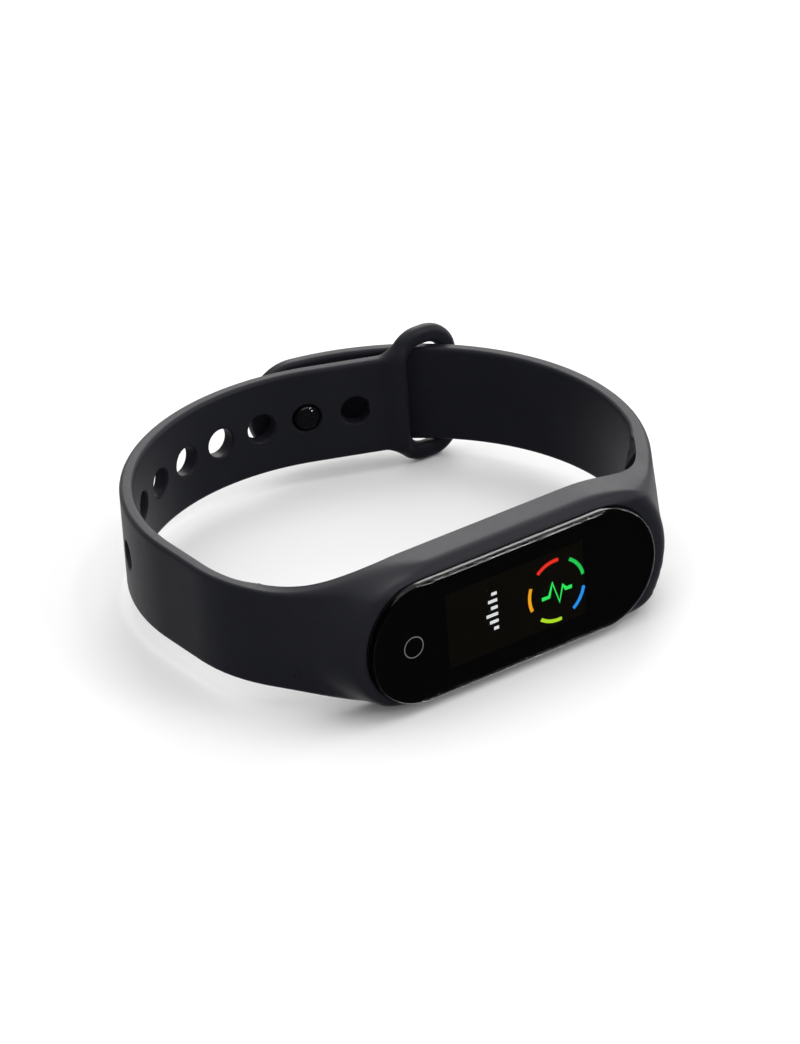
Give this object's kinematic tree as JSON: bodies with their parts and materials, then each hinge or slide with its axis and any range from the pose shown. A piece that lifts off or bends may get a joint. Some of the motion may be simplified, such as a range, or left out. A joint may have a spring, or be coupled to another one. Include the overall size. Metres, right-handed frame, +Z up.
{
  "type": "fitness tracker band",
  "caption": "Pill-shaped fitness tracker in a closed black silicone wristband, with a keeper loop and a stud-and-hole closure.",
  "frame": {"origin": "on the surface that the band's edge stands on, under the middle of the band's box", "axes": "+X along the capsule, +Y from the lens towards the back of the wrist opening, +Z up along the wrist"},
  "size_m": [0.0726, 0.0694, 0.0206],
  "materials": {
    "silicone": "fine matte silicone",
    "stud_black": "polished black",
    "lens_glass": "polished cover glass",
    "mask_ink": "black print",
    "case_black": "fine moulded texture",
    "gasket_rubber": "matte",
    "display": "display glass",
    "foam": "matte foam",
    "ribbon_film": "amber film",
    "copper": "bare copper",
    "spring_gold": "gold plated",
    "board_green": "solder mask",
    "chip_black": "moulded epoxy",
    "steel": "brushed",
    "ceramic": "ceramic",
    "socket_white": "nylon",
    "battery_foil": "crimped foil",
    "lead_red": "insulated wire",
    "magnet": "nickel",
    "brass": "turned",
    "led_resin": "clear resin",
    "photodiode": "dark resin",
    "window_tint": "tinted window"
  },
  "bodies": {
    "wristband": {"cradle": "silicone", "hole_strap": "silicone", "keeper_loop": "silicone", "tail_strap": "silicone"},
    "tail": {"tail_end": "silicone", "stud_cap": "stud_black", "stud_post": "stud_black"},
    "capsule": {"lens_cover": "lens_glass", "lens_mask": "mask_ink", "case_frame": "case_black", "case_gasket": "gasket_rubber", "lower_case": "case_black", "display_panel": "display", "display_cushion": "foam", "display_ribbon": "ribbon_film", "touch_pad": "copper", "touch_spring": "spring_gold", "main_board": "board_green", "radio_processor": "chip_black", "flash_memory": "chip_black", "motion_sensor": "chip_black", "crystal": "steel", "power_chip": "chip_black", "chip_antenna": "ceramic", "sensor_socket": "socket_white", "battery_tape": "foam", "battery_cell": "battery_foil", "battery_guard": "board_green", "battery_leads": "lead_red", "motor_base": "steel", "motor_cover": "steel", "motor_magnet": "magnet", "motor_shaft": "steel", "motor_leads": "lead_red", "sensor_board": "board_green", "green_leds": "led_resin", "photodiode": "photodiode", "light_baffle": "chip_black", "sensor_window": "window_tint", "sensor_ribbon": "ribbon_film", "charging_contacts": "spring_gold", "charging_springs": "spring_gold"},
    "rotor": {"motor_rotor": "brass"}
  },
  "joints": [
    {"name": "capsule_release", "type": "slide", "parent": "wristband", "child": "capsule", "axis": [0, -1, 0], "range_m": [0, 0.016]},
    {"name": "tail_peel", "type": "hinge", "parent": "wristband", "child": "tail", "pos_m": [0.02347, 0.02629, 0.0103], "axis": [0, 0, -1], "range_deg": [0, 75]},
    {"name": "motor_spin", "type": "hinge", "parent": "capsule", "child": "rotor", "pos_m": [0.01383, -0.03027, 0.0103], "axis": [0, 1, 0], "continuous": true}
  ]
}
